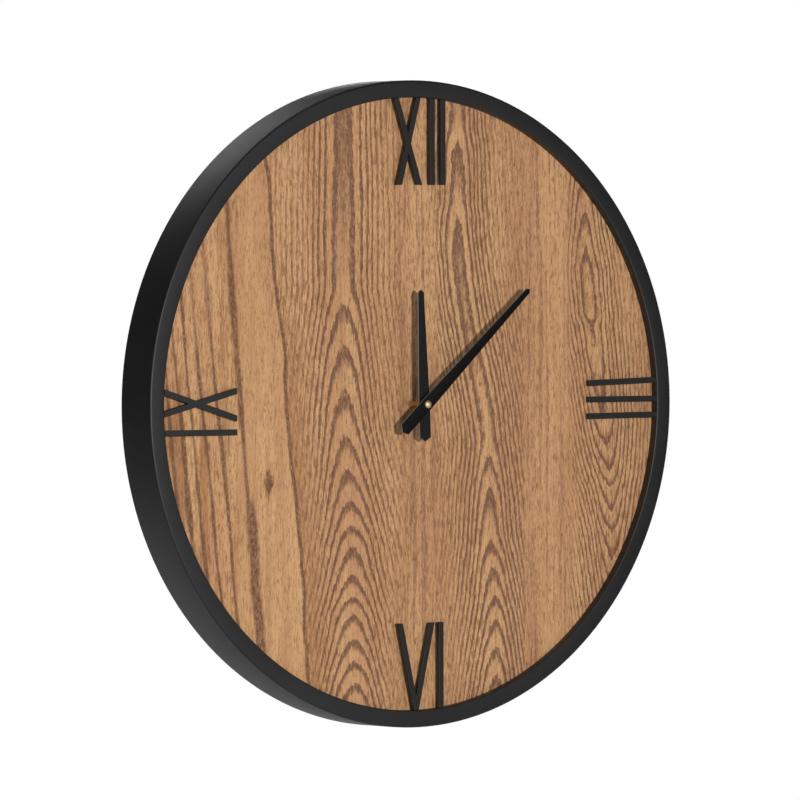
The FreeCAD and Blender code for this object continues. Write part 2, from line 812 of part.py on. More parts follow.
def third_wheel():
    x = size("third_x")
    third, fourth, gauge = size("third_level"), size("fourth_level"), size("wheel_gauge")
    wheel = gear("seconds", "third_wheel", x, 0, third, third + gauge, 0, False)
    wheel = spoked(wheel, x, 0, third, third + gauge, size("window_in"), size("third_window_out"))
    top = fourth + gauge + PINION_PROUD
    pinion = gear("third", "third_pinion", x, 0, fourth - PINION_PROUD, top, 0, True)
    hub = rod(size("arbor_hub"), hub_foot(), top, x)
    pivots = rod(size("pivot"), pivot_foot(), pivot_top(), x)
    stand_up("third_wheel", shape_feature(wheel.fuse([pinion, hub, pivots])))


def centre_wheel():
    """Wheel that turns once an hour and drives the minute pipe through a friction fit."""
    fourth, gauge = size("fourth_level"), size("wheel_gauge")
    wheel = gear("third", "centre_wheel", 0, 0, fourth, fourth + gauge, 180, False)
    wheel = spoked(wheel, 0, 0, fourth, fourth + gauge, size("window_in"), size("centre_window_out"))
    top = size("centre_tube_top")
    tube_part = rod(size("centre_tube"), fourth, top)
    bore = rod(size("centre_arbor") + size("running_gap"), fourth - OVERCUT, top + OVERCUT)
    stand_up("centre_wheel", shape_feature(wheel.fuse(tube_part).cut(bore)))


def cannon_pinion():
    """Minute pipe with the pinion that drives the motion work."""
    low = size("motion_level")
    high = low + size("motion_gauge")
    foot = low - CANNON_PROUD
    pinion = gear("cannon", "cannon", 0, 0, foot, high + CANNON_PROUD, 0, True)
    pipe = rod(size("minute_pipe"), foot, size("minute_pipe_top"))
    bore = rod(size("centre_tube") + size("running_gap"), foot - OVERCUT, size("cannon_bore_top"))
    stand_up("cannon_pinion", shape_feature(pinion.fuse(pipe).cut(bore)))


def motion_wheel():
    """Reduction wheel between the minute pipe and the hour wheel, on the setting stem."""
    x = size("motion_x")
    low, gauge = size("motion_level"), size("motion_gauge")
    hour_low, hour_high = size("hour_level"), size("hour_level") + size("hour_gauge")
    wheel = gear("cannon", "motion_wheel", x, 0, low, low + gauge, 180, False)
    top = hour_high + PINION_PROUD
    pinion = gear("hour", "motion_pinion", x, 0, hour_low - PINION_PROUD, top, 180, True)
    hub = rod(size("motion_hub"), low + gauge, top, x)
    stem = rod(size("setting_stem"), stem_foot(), low, x)
    pivot = rod(size("pivot"), hour_high, size("motion_pivot_top"), x)
    stand_up("motion_wheel", shape_feature(wheel.fuse([pinion, hub, stem, pivot])))


def hour_wheel():
    low, high = size("hour_level"), size("hour_level") + size("hour_gauge")
    wheel = gear("hour", "hour_wheel", 0, 0, low, high, 0, False)
    wheel = spoked(wheel, 0, 0, low, high, size("hour_window_in"), size("hour_window_out"))
    pipe = rod(size("hour_pipe"), low, size("hour_low") + size("hand_gauge"))
    bore = rod(size("minute_pipe") + size("running_gap"), low - OVERCUT, size("minute_pipe_top"))
    stand_up("hour_wheel", shape_feature(wheel.fuse(pipe).cut(bore)))


def setting_knob():
    """Thumb knob on the end of the setting stem, with a scalloped edge."""
    x = size("motion_x")
    top = size("case_back_face") - size("knob_gap")
    low = top - size("knob_height")
    knob = rod(size("knob_radius"), low, top, x)
    count, ring = int(size("knob_scallops")), size("knob_scallop_ring")
    for number in range(count):
        angle = 2 * math.pi / count * number
        knob = knob.cut(rod(size("knob_scallop"), low, top, x + ring * math.cos(angle),
                            ring * math.sin(angle)))
    socket = rod(size("setting_stem"), stem_foot(), top, x)
    stand_up("setting_knob", shape_feature(knob.cut(socket)))


# ---------------------------------------------------------------- movement case and motor

def case_front():
    """Moulded tray with a gear bay, a battery bay and two screw ears."""
    body = doc.addObject("PartDesign::Body", "CaseBody")
    low = "case_back_face + case_wall"
    inner_face = "case_front_face - case_wall"
    rectangle = [("-case_half_width", "case_bottom"), ("case_half_width", "case_bottom"),
                 ("case_half_width", "case_top"), ("-case_half_width", "case_top")]
    polygon(pad(body, low, "case_front_face"), rectangle)
    side = "(case_half_width - case_wall)"
    gear_bay = [(f"-{side}", "bay_wall_top"), (side, "bay_wall_top"),
                (side, "case_top - case_wall"), (f"-{side}", "case_top - case_wall")]
    polygon(pocket(body, low, inner_face), gear_bay)
    bay_top = "bay_wall_top - bay_wall"
    battery_bay = [(f"-{side}", "case_bottom + case_wall"), (side, "case_bottom + case_wall"),
                   (side, bay_top), (f"-{side}", bay_top)]
    polygon(pocket(body, low, inner_face), battery_bay)
    circle(pocket(body, inner_face, "case_front_face"), "bush_radius")
    tray = body
    ears = []
    for sign in ("-1", "1"):
        ear_x = f"{sign} * (case_half_width + ear_reach / 2)"
        left = f"{ear_x} - ear_reach / 2"
        right = f"{ear_x} + ear_reach / 2"
        ear = block(left, right, "-ear_half_width", "ear_half_width", "board_back - sheet_gauge",
                    "board_back")
        ears.append(cut(ear, cylinder("screw_shank", "board_back - sheet_gauge", "board_back", ear_x)))
    web_end = "web_width - ear_half_width"
    webs = [block("-case_half_width - web_reach", "-case_half_width", "-ear_half_width", web_end,
                  low, "board_back"),
            block("case_half_width", "case_half_width + web_reach", "-ear_half_width", web_end,
                  low, "board_back")]
    pivot_hole = cylinder("pivot + running_gap", inner_face, f"{inner_face} + hole_depth", "motion_x")
    stand_up("case_front", cut(fuse(tray, *ears, *webs), pivot_hole))


def case_back():
    """Back cover of the gear bay, with bearings, plate posts and the intermediate wheel's post."""
    low, high = "case_back_face", "case_back_face + case_wall"
    cover = block("-case_half_width", "case_half_width", "bay_wall_top - bay_wall", "case_top",
                  low, high)
    posts = [cylinder("post_radius", high, "plate_level", x, y)
             for x in ("-post_x", "post_x") for y in ("post_high_y", "post_low_y")]
    step_post = cylinder("pivot", high, "third_level - step_post_short", "0", "step_y")
    bearings = [cylinder("pivot + running_gap", f"{high} - hole_depth", high, x, y)
                for x, y in (("0", "0"), ("third_x", "0"), ("rotor_x", "rotor_y"))]
    stem_hole = cylinder("setting_stem + running_gap", low, high, "motion_x")
    stand_up("case_back", cut(fuse(cover, step_post, *posts), stem_hole, *bearings))


def train_plate():
    """Plate over the going train that carries its front bearings and the circuit board."""
    low, high = "plate_level", "plate_level + plate_gauge"
    slab = block("-plate_half", "plate_half", "plate_near", "plate_far", low, high)
    pads = [cylinder("pad_radius", high, f"{high} + pad_height", x, "pad_y")
            for x in ("pad_left_x", "pad_right_x")]
    holes = [cylinder(radius, low, high, x, y) for radius, x, y in (
        ("centre_tube + running_gap", "0", "0"),
        ("pivot + running_gap", "third_x", "0"),
        ("pivot + running_gap", "rotor_x", "rotor_y"),
        ("setting_stem + running_gap", "motion_x", "0"))]
    stand_up("train_plate", cut(fuse(slab, *pads), *holes))


def coil():
    """Winding on a moulded spool, around the strip that bridges the stator's legs."""
    level = "stator_level + stator_gauge"
    axis = f"{level} + core_gauge / 2"
    half = "coil_half"
    near, far = "coil_y - core_half_width", "coil_y + core_half_width"
    stand_up("coil_core", block("-core_half", "core_half", near, far, level, f"{level} + core_gauge"))
    window = block(f"-{half}", half, near, far, level, f"{level} + core_gauge")
    inner = f"{half} - spool_cheek"
    spool = fuse(lying_cylinder("spool_radius", f"-{half}", half, "coil_y", axis),
                 lying_cylinder("spool_flange", f"-{half}", f"-({inner})", "coil_y", axis),
                 lying_cylinder("spool_flange", inner, half, "coil_y", axis))
    stand_up("coil_spool", cut(spool, window))
    stand_up("coil_winding", cut(lying_cylinder("winding_radius", f"-({inner})", inner, "coil_y", axis),
                                 lying_cylinder("spool_radius", f"-{half}", half, "coil_y", axis)))


def circuit():
    """Circuit board on the train plate's pads, with its potted chip and the quartz crystal."""
    low = "plate_level + plate_gauge + pad_height"
    high = f"{low} + circuit_gauge"
    stand_up("circuit_board", block("circuit_left", "circuit_right", "circuit_near", "circuit_far",
                                    low, high))
    spot = ("chip_x", "chip_y")
    blob = fuse(cylinder("chip_radius", high, f"{high} + chip_foot", *spot),
                cylinder("chip_crown", f"{high} + chip_foot", f"{high} + chip_height", *spot))
    stand_up("potted_chip", blob)
    can = doc.addObject("Part::Cylinder", "Can")
    can.Placement.Rotation = FreeCAD.Rotation(FreeCAD.Vector(1, 0, 0), -90)
    bind(can, Radius="crystal_radius", Height="crystal_length")
    place(can, "crystal_x", "crystal_y", f"{high} + crystal_radius")
    stand_up("quartz_crystal", can)


def battery_and_contacts():
    """AA cell lying across the bay between a plate contact and a spring contact."""
    left, right = "-battery_half", "battery_half"
    shoulder = "battery_half - button_height"
    spot = ("battery_y", "battery_level")
    cell = fuse(lying_cylinder("battery_radius", left, shoulder, *spot),
                lying_cylinder("button_radius", shoulder, right, *spot))
    stand_up("battery_cell", cell)
    wall = "(case_half_width - case_wall)"
    near, far = "battery_y - strip_half", "battery_y + strip_half"
    low, high = "battery_level - strip_below", "battery_level + strip_above"
    strip = block(f"{wall} - strip_gauge", wall, near, far, low, high)
    dimple = lying_cylinder("dimple_radius", right, f"{wall} - strip_gauge", *spot)
    stand_up("positive_contact", fuse(strip, dimple))
    strip = block(f"-{wall}", f"-{wall} + strip_gauge", near, far, low, high)
    spring = lying_cylinder("spring_radius", f"-{wall} + strip_gauge", left, *spot)
    stand_up("negative_contact", fuse(strip, spring))


# ---------------------------------------------------------------- build, check and write

def build():
    fill_sheet()
    rim_channel()
    dial_board()
    veneer_leaves()
    numerals()
    board_tabs()
    board_screws()
    movement_screws()
    hanger_plate()
    hand("hour_hand", "hour", "hour_pipe")
    hand("minute_hand", "minute", "minute_pipe")
    collars()
    cap_nut()
    centre_bush()
    rubber_washer()
    stator_and_rotor()
    intermediate_wheel()
    seconds_wheel()
    third_wheel()
    centre_wheel()
    cannon_pinion()
    motion_wheel()
    hour_wheel()
    setting_knob()
    case_front()
    case_back()
    train_plate()
    coil()
    circuit()
    battery_and_contacts()
    doc.recompute()


def check():
    for obj in doc.Objects:
        if "Invalid" in obj.State or "Error" in obj.State:
            raise RuntimeError(f"{obj.Name} ({obj.Label}) failed: {obj.State}")
    for label, piece in pieces.items():
        if piece.Shape.isNull() or not piece.Shape.isValid() or not piece.Shape.Solids:
            raise RuntimeError(f"{label} has no valid solid")


def write():
    os.makedirs("parts", exist_ok=True)
    for label, piece in pieces.items():
        piece.Shape.exportStep(f"parts/{label}.step")
    print(f"{len(pieces)} pieces written")


build()
check()
write()
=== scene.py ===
import json
import math

import bmesh
import bpy
from mathutils import Matrix, Vector


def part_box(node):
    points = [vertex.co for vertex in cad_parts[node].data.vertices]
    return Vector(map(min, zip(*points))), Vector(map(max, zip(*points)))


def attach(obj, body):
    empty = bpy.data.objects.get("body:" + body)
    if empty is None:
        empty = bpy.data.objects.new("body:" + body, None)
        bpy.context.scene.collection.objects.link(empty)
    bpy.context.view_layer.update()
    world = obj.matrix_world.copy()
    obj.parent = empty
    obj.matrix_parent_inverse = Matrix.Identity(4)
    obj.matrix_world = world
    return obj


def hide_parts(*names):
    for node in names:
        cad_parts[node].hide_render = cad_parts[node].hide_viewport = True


# Finished model of a round wall clock: a wood dial in a black steel hoop, with welded numerals
# and a quartz movement behind. Metres, Z up, and the dial faces -Y.

MM = 0.001
AXIS = Vector((0, 1, 0))

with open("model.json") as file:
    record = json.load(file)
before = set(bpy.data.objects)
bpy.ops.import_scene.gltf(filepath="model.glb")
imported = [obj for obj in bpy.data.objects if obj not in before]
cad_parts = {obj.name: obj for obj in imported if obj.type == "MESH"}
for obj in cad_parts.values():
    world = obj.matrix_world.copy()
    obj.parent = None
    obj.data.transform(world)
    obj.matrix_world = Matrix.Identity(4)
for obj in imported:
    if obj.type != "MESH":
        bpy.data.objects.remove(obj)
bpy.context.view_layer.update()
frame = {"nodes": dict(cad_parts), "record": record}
bpy.context.view_layer.update()


# ---------------------------------------------------------------- shader maths

class Signal:
    """A value carried by a node's socket. Arithmetic on it adds Math nodes."""

    def __init__(self, finish, socket):
        self.finish = finish
        self.socket = socket

    def math(self, operation, *others):
        terms = dict(enumerate((self,) + others))
        return self.finish.node("ShaderNodeMath", {"operation": operation}, terms)

    def __add__(self, other):
        return self.math("ADD", other)

    def __sub__(self, other):
        return self.math("SUBTRACT", other)

    def __mul__(self, other):
        return self.math("MULTIPLY", other)

    def __truediv__(self, other):
        return self.math("DIVIDE", other)

    def __pow__(self, other):
        return self.math("POWER", other)

    def __rsub__(self, other):
        return self * -1 + other

    def __abs__(self):
        return self.math("ABSOLUTE")

    __radd__ = __add__
    __rmul__ = __mul__

    def fraction(self):
        return self.math("FRACT")

    def wave(self):
        return self.math("SINE")

    def clamped(self):
        return self.math("MAXIMUM", 0.0).math("MINIMUM", 1.0)

    def rise(self, start, end):
        """0 before start, 1 past end, with a smooth step between.

        The start may be the higher of the two: the signal then falls as its value grows."""
        step = ((self - start) / (end - start)).clamped()
        return step * step * (3 - 2 * step)

    def band(self, centre, half, softness):
        """1 within half of the centre, fading over the softness."""
        return abs(self - centre).rise(half + softness, half)


class Finish:
    """One procedural material, built from named nodes on Object coordinates."""

    def __init__(self, name, **constants):
        self.material = bpy.data.materials.new(name)
        self.material.use_nodes = True
        self.tree = self.material.node_tree
        self.shader = self.tree.nodes["Principled BSDF"]
        for socket, value in constants.items():
            self.shader.inputs[socket.replace("_", " ")].default_value = value

    def node(self, kind, settings=None, inputs=None, output=0):
        """Add a node: first its settings, then the values or links of its sockets."""
        made = self.tree.nodes.new(kind)
        for name, value in (settings or {}).items():
            if name == "curve":
                self.set_curve(made.mapping, value)
            else:
                setattr(made, name, value)
        for key, value in (inputs or {}).items():
            socket = made.inputs[key]
            if isinstance(value, Signal):
                self.tree.links.new(value.socket, socket)
            else:
                socket.default_value = value
        return Signal(self, made.outputs[output])

    @staticmethod
    def set_curve(mapping, points):
        mapping.use_clip = False
        curve = mapping.curves[0]
        while len(curve.points) < len(points):
            curve.points.new(0.5, 0.5)
        for point, place in zip(curve.points, points):
            point.location = place
            point.handle_type = "VECTOR"
        mapping.update()

    def place(self):
        """Object coordinates in millimetres, as X, Y, Z signals."""
        where = self.node("ShaderNodeTexCoord", output="Object")
        scaled = self.node("ShaderNodeVectorMath", {"operation": "SCALE"},
                           {"Vector": where, "Scale": 1 / MM})
        return [self.node("ShaderNodeSeparateXYZ", None, {0: scaled}, axis) for axis in "XYZ"]

    def point(self, x, y, z):
        return self.node("ShaderNodeCombineXYZ", None, {0: x, 1: y, 2: z})

    def noise(self, where, scale=1.0, detail=2.0, roughness=0.5):
        return self.node("ShaderNodeTexNoise", None,
                         {"Vector": where, "Scale": scale, "Detail": detail,
                          "Roughness": roughness})

    def cells(self, where, scale, randomness=1.0):
        return self.node("ShaderNodeTexVoronoi", None,
                         {"Vector": where, "Scale": scale, "Randomness": randomness})

    def mix(self, amount, first, second):
        """Blend two colours."""
        colours = [colour if isinstance(colour, Signal) else (*colour, 1)
                   for colour in (first, second)]
        return self.node("ShaderNodeMix", {"data_type": "RGBA"},
                         {0: amount, 6: colours[0], 7: colours[1]}, 2)

    def feed(self, socket, value):
        self.tree.links.new(value.socket, self.shader.inputs[socket])
        return self

    def relief(self, height, distance, strength):
        """Let a height signal tip the surface. The distance is in millimetres."""
        bump = self.node("ShaderNodeBump", None,
                         {"Height": height, "Distance": distance * MM, "Strength": strength})
        return self.feed("Normal", bump)


def moulded_plastic(name, colour, shade, roughness=0.45, grain=0.35):
    """Moulded plastic with a fine spark-eroded grain and slight cloudiness."""
    finish = Finish(name, Specular_IOR_Level=0.45)
    where = finish.point(*finish.place())
    fine = finish.noise(where, 1 / grain, 3.0)
    cloud = finish.noise(where, 0.08, 2.0)
    finish.feed("Base Color", finish.mix(cloud.rise(0.3, 0.7), colour, shade))
    finish.feed("Roughness", roughness - 0.05 + 0.16 * fine)
    return finish.relief(fine, 0.02, 0.5)


def turned_metal(name, colour, shade, roughness=0.24, turning=3.5):
    """Lathe-turned metal: fine rings about the dial's axis."""
    finish = Finish(name, Metallic=1.0)
    x, y, z = finish.place()
    radius = (x * x + z * z) ** 0.5
    wobble = finish.noise(finish.point(x, y, z), 1.2, 2.0)
    rings = finish.noise(finish.point(radius * turning, y * turning, wobble * 0.4), 2.0, 3.0)
    tarnish = finish.noise(finish.point(x, y, z), 0.35, 3.0).rise(0.35, 0.75)
    finish.feed("Base Color", finish.mix(tarnish * 0.5 + rings * 0.2, colour, shade))
    finish.feed("Roughness", roughness + 0.12 * rings + 0.1 * tarnish)
    return finish.relief(rings, 0.012, 0.4)


def plated_metal(name, colour, shade, roughness=0.3):
    """Stamped or plated sheet with faint drawing lines."""
    finish = Finish(name, Metallic=1.0)
    x, y, z = finish.place()
    lines = finish.noise(finish.point(x * 0.6, y * 4, z * 5), 1.2, 3.0)
    spots = finish.cells(finish.point(x, y, z), 0.9)
    finish.feed("Base Color", finish.mix(lines * 0.6 + spots * 0.3, colour, shade))
    finish.feed("Roughness", roughness + 0.16 * lines)
    return finish.relief(lines, 0.01, 0.35)


def powder_coat():
    """Satin black powder coat with a soft orange-peel surface."""
    finish = Finish("black_powder_coat", Specular_IOR_Level=0.5)
    where = finish.point(*finish.place())
    peel = finish.noise(where, 0.9, 2.0)
    fine = finish.noise(where, 5.0, 2.0)
    cloud = finish.noise(where, 0.012, 3.0)
    dust = finish.noise(where, 2.2, 4.0).rise(0.66, 0.74)
    coat = finish.mix(cloud.rise(0.3, 0.7), (0.0095, 0.0090, 0.0092), (0.0135, 0.0128, 0.0128))
    finish.feed("Base Color", finish.mix(dust * 0.10, coat, (0.05, 0.045, 0.042)))
    finish.feed("Roughness", 0.40 + 0.10 * cloud + 0.06 * fine)
    return finish.relief(peel * 0.8 + fine * 0.2, 0.03, 0.55)


def hand_paint(name, sheen):
    """Black paint on a stamped hand, with a painted highlight on the cut edges."""
    finish = Finish(name, Specular_IOR_Level=sheen)
    x, y, z = finish.place()
    where = finish.point(x, y, z)
    fine = finish.noise(where, 4.0, 3.0)
    cloud = finish.noise(where, 0.06, 2.0)
    paint = finish.mix(cloud, (0.0045, 0.0043, 0.0048), (0.0070, 0.0068, 0.0074))
    # Painted highlight: faces that turn sideways, the cut edges, are coloured light grey for the
    # light they catch.
    facing = finish.node("ShaderNodeNewGeometry", output="Normal")
    outward = abs(finish.node("ShaderNodeSeparateXYZ", None, {0: facing}, "Y"))
    bare_metal_and_painted_highlight = outward.rise(0.55, 0.25) * (0.7 + 0.3 * fine)
    finish.feed("Base Color", finish.mix(bare_metal_and_painted_highlight, paint, (0.30, 0.29, 0.28)))
    finish.feed("Roughness", 0.34 + 0.14 * fine)
    return finish.relief(fine, 0.015, 0.5)


def acetal_with_brass_pipe():
    """White moulded wheel on a turned brass pipe, browned by age."""
    finish = Finish("acetal_on_brass_pipe")
    x, y, z = finish.place()
    where = finish.point(x, y, z)
    pipe = ((x * x + z * z) ** 0.5).rise(3.0, 2.9)
    fine = finish.noise(where, 1.3, 3.0)
    rings = finish.noise(finish.point(x * 0.2, y * 6, z * 0.2), 2.0, 2.0)
    moulded = finish.mix(fine, (0.78, 0.77, 0.72), (0.70, 0.68, 0.62))
    turned = finish.mix(rings, (0.44, 0.25, 0.105), (0.36, 0.20, 0.08))
    finish.feed("Base Color", finish.mix(pipe, moulded, turned))
    finish.feed("Roughness", 0.42 + 0.12 * rings)
    return finish.relief(rings * pipe + fine * (1 - pipe), 0.015, 0.4)


# ---------------------------------------------------------------- ash veneer

# Growth-line count along the axis of each flame, as (height in millimetres, count). A line
# meets the axis wherever the count is whole.
LEFT_LEVELS = [(-302, 0), (-280, 1), (-258, 2), (-237, 3), (-216, 4), (-193, 5), (-177, 6),
               (-156, 7), (-130, 8), (-111, 9), (-88, 10), (-60, 11), (-28, 12), (13, 13),
               (55, 14), (94, 15), (106, 15.35), (230, 15.55), (320, 15.6)]
RIGHT_LEVELS = [(-282, 0), (-254, 1), (-228, 2), (-205, 2.9), (-182, 4), (-156, 4.9), (-128, 6),
                (-88, 6.7), (-48, 8), (-36, 8.35), (138, 8.6), (152, 8.72), (177, 9),
                (186, 9.35), (234, 9.7), (245, 10), (256, 10.4), (320, 10.6)]
EYE_LEVELS = [(-290, 14), (-230, 11), (-190, 9.5), (-150, 8), (-124, 7), (-105, 6), (-82, 5),
              (-67, 4), (-44, 3), (-19, 2), (30, 1.3), (50, 0.98), (72, 0.86), (80, 0.35),
              (122, 0.35), (130, 0.6), (145, 1), (177, 2), (215, 3), (250, 4)]

PALE_ASH = (0.718, 0.412, 0.198)
WARM_ASH = (0.622, 0.334, 0.160)
PINK_ASH = (0.500, 0.250, 0.135)
LINE_BROWN = (0.205, 0.104, 0.070)
STRIPE_BROWN = (0.125, 0.055, 0.032)
RUST_BROWN = (0.430, 0.200, 0.080)
PORE_BROWN = (0.190, 0.082, 0.042)

# Scales that bring a growth count and a height in millimetres into a curve's 0 to 1.
FULL_COUNT = 40.0
CURVE_SPAN = 700.0

# Thin dark stripes of the left leaf: centre at mid height, half width, height where each fades.
THIN_STRIPES = [(-288, 1.0, 40), (-274, 1.1, 60), (-262, 1.5, 150),
                (-249, 1.1, 160), (-236, 1.0, 60), (-219, 1.2, 70)]


def past_join(leaf):
    """Distance right of the wandering line where the left figure meets the middle one."""
    wander = leaf.grain(0.004, 0.013, 2.0, 0.5, 41.0) - 0.5
    return leaf.x + leaf.z * 0.0975 + 140.5 + wander * 16


def join_mark(past):
    """Dark line along the join, from the distance past it."""
    return abs(past + 1.2).rise(2.8, 1.0) * 0.85, STRIPE_BROWN


class AshLeaf:
    """Flat-sawn ash: growth lines drawn from a height field, with open pores along the grain."""

    def __init__(self, name):
        self.finish = Finish(name, Specular_IOR_Level=0.3)
        self.x, self.y, self.z = self.finish.place()
        slow = self.grain(0.020, 0.007, 2.0)
        brisk = self.grain(0.11, 0.020, 2.0)
        self.drift = (slow - 0.5) * 10 + (brisk - 0.5) * 3.5
        self.x_warped = self.x + self.drift

    def grain(self, across, along, detail=3.0, roughness=0.55, offset=0.0):
        """Noise drawn out along the grain. The arguments are cycles per millimetre."""
        where = self.finish.point(self.x * across + offset, self.y * across, self.z * along)
        return self.finish.noise(where, 1.0, detail, roughness)

    def level(self, levels):
        """Growth-line count along a flame's axis, read from (height, count) pairs."""
        points = [(height / CURVE_SPAN + 0.5, count / FULL_COUNT) for height, count in levels]
        scaled = (self.z + self.drift * 0.8) / CURVE_SPAN + 0.5
        return self.finish.node("ShaderNodeFloatCurve", {"curve": points},
                                {"Value": scaled}) * FULL_COUNT

    def flame(self, axis, levels, point, bow, straighten, flank):
        """Growth-line count of a nested flame: bowed lines near its axis, straight ones beyond."""
        off = abs(self.x_warped - axis)
        near = off.math("MINIMUM", straighten)
        beyond = (off - straighten).math("MAXIMUM", 0.0)
        ragged = (self.grain(0.40, 0.09, 3.0, 0.6, 31.0) - 0.5) * 0.60
        return self.level(levels) + near * (near * bow + point) + beyond * flank + ragged

    def lines(self, count, width, softness):
        """Dark line just under each whole count: a sharp upper edge that fades below."""
        part = count.fraction()
        lower = part.rise(1 - width - softness, 1 - width)
        upper = part.rise(1.0, 0.93)
        return lower * upper

    def boldness(self, axis):
        """How strongly a flame's lines are marked: bold near its axis, faint and patchy beyond."""
        patchy = self.grain(0.018, 0.006, 2.0, 0.5, 53.0).rise(0.35, 0.65) * 0.30 + 0.26
        near = abs(self.x - axis).rise(50, 24)
        return near * (1 - patchy) + patchy

    def stripe(self, centre, lean, half, left_soft, right_soft):
        """One dark mineral stripe that leans as it runs down, swelling and thinning."""
        sway = self.drift * 0.35 + (self.grain(0.035, 0.011, 2.0, 0.5, centre * 0.37) - 0.5) * 5
        off = self.x + sway - (centre - self.z * lean)
        swell = (self.grain(0.02, 0.016, 2.0, 0.5, centre * 0.71) - 0.5) * half * 4
        off = abs(off) - swell
        return off.rise(half + left_soft + right_soft, half * 0.4)

    def complete(self, base, marks, calm):
        """Colour the leaf: a base, each mark over it, then fine streaks and open pores.

        The calm signal is 1 where the wood is smooth, between growth lines."""
        finish = self.finish
        colour = base
        shade = 0.0
        speck = self.grain(0.55, 0.26, 3.0, 0.7, 5.0).rise(0.36, 0.62)
        for amount, tint in marks:
            colour = finish.mix((amount * (0.52 + 0.62 * speck)).clamped(), colour, tint)
            shade = amount + shade
        streak = self.grain(0.30, 0.008, 3.0, 0.65, 7.0)
        fibre = self.grain(0.85, 0.035, 3.0, 0.65, 3.0)
        colour = finish.mix(streak.rise(0.50, 0.72) * 0.42, colour, RUST_BROWN)
        colour = finish.mix(fibre.rise(0.48, 0.66) * 0.28, colour, PORE_BROWN)
        lift = shade * 0.10 - calm * 0.045
        coarse = (self.grain(0.50, 0.105, 2.0, 0.6, 11.0) + lift).rise(0.51, 0.62)
        fine = (self.grain(0.95, 0.19, 2.0, 0.6, 23.0) + lift).rise(0.49, 0.58)
        depth = (coarse * 0.52 + fine * 0.44).clamped()
        colour = finish.mix(depth * 0.74, colour, PORE_BROWN)
        finish.feed("Base Color", colour)
        finish.feed("Roughness", 0.50 + 0.16 * depth + 0.10 * fibre)
        finish.relief(1 - depth * 0.8 - fibre * 0.2, 0.06, 0.55)
        return finish.material


def knot(leaf, x, z, half_width, half_height):
    """Ragged distance from the heart of a small pointed knot: 0 there, about 1 at its edge."""
    off = abs(leaf.x - x) / half_width + (abs(leaf.z - z) / half_height) ** 1.3
    return off + (leaf.grain(0.5, 0.3, 2.0, 0.6, 9.0) - 0.5) * 0.9


def left_leaf():
    leaf = AshLeaf("ash_left_leaf")
    base = leaf.finish.mix(leaf.grain(0.05, 0.004, 2.0).rise(0.35, 0.7), PALE_ASH, WARM_ASH)
    rust = leaf.grain(0.060, 0.006, 3.0, 0.6, 13.0).rise(0.46, 0.64)
    rust = rust * leaf.x.rise(-190, -215) + rust * 0.35
    base = leaf.finish.mix(rust * 0.60, base, RUST_BROWN)
    marks = []
    for centre, half, top in THIN_STRIPES:
        mark = leaf.stripe(centre, 0.11, half, 1.4, 0.6)
        mark = mark * (0.45 + 0.55 * leaf.z.rise(top + 40, top - 30))
        marks.append((mark * 0.86, STRIPE_BROWN))
    main = leaf.stripe(-193, 0.085, 1.6, 1.8, 0.8)
    low_half = leaf.stripe(-190.5, 0.085, 4.2, 1.5, 1.0) * leaf.z.rise(-76, -98)
    marks.append((main.math("MAXIMUM", low_half) * 0.86, STRIPE_BROWN))
    past = past_join(leaf)
    base = leaf.finish.mix(past.rise(-1, 1) * 0.55, base, RUST_BROWN)
    marks.append((past.rise(-16, -2) * leaf.z.rise(-60, 120) * 0.35, PINK_ASH))
    marks.append(join_mark(past))
    spindle = knot(leaf, -162, -70, 6.0, 16.0)
    marks.append((spindle.rise(2.1, 0.6) * 0.45, RUST_BROWN))
    marks.append((spindle.rise(1.05, 0.55) * 0.85, STRIPE_BROWN))
    return leaf.complete(base, marks, leaf.x.rise(-205, -190) * 0.9 + 0.1)


def middle_leaf():
    leaf = AshLeaf("ash_middle_leaf")
    finish = leaf.finish
    tone = leaf.grain(0.03, 0.004, 2.0).rise(0.35, 0.65)
    base = finish.mix(tone, WARM_ASH, PALE_ASH)
    left_axis = leaf.z.rise(-150, 20) * -10 - 67
    left_count = leaf.flame(left_axis, LEFT_LEVELS, 0.006, 0.0029, 28.0, 0.165)
    left_zone = leaf.x.rise(4, -24)
    left_lines = leaf.lines(left_count, 0.24, 0.30)
    right_axis = leaf.z.rise(170, -60) * 37 + 54 + leaf.z.rise(-60, -240) * 6
    right_count = leaf.flame(right_axis, RIGHT_LEVELS, 0.010, 0.0052, 19.0, 0.20)
    right_zone = leaf.x.rise(22, 38)
    right_lines = leaf.lines(right_count, 0.26, 0.34)
    straight = leaf.grain(0.20, 0.006, 2.0, 0.5, 19.0)
    straight_zone = (1 - left_zone) * (1 - right_zone)
    top_line = abs(leaf.x_warped - left_axis).rise(5.5, 1.0) * leaf.z.rise(100, 190)
    past = past_join(leaf)
    inside = past.rise(-1, 1)
    base = finish.mix(past.rise(30, 6) * leaf.z.rise(160, 20) * 0.50, base, RUST_BROWN)
    base = finish.mix(inside, PALE_ASH, base)
    base = finish.mix(leaf.x.rise(112, 128) * 0.35, base, PINK_ASH)
    marks = [(left_lines * left_zone * inside * leaf.boldness(left_axis), LINE_BROWN),
             (right_lines * right_zone * leaf.boldness(right_axis), LINE_BROWN),
             join_mark(past),
             (top_line * 0.55, LINE_BROWN),
             (straight.rise(0.52, 0.66) * straight_zone * 0.40, LINE_BROWN)]
    left_core = abs(leaf.x - left_axis).rise(22, 10)
    right_core = abs(leaf.x - right_axis).rise(16, 8)
    return leaf.complete(base, marks, left_core.math("MAXIMUM", right_core))


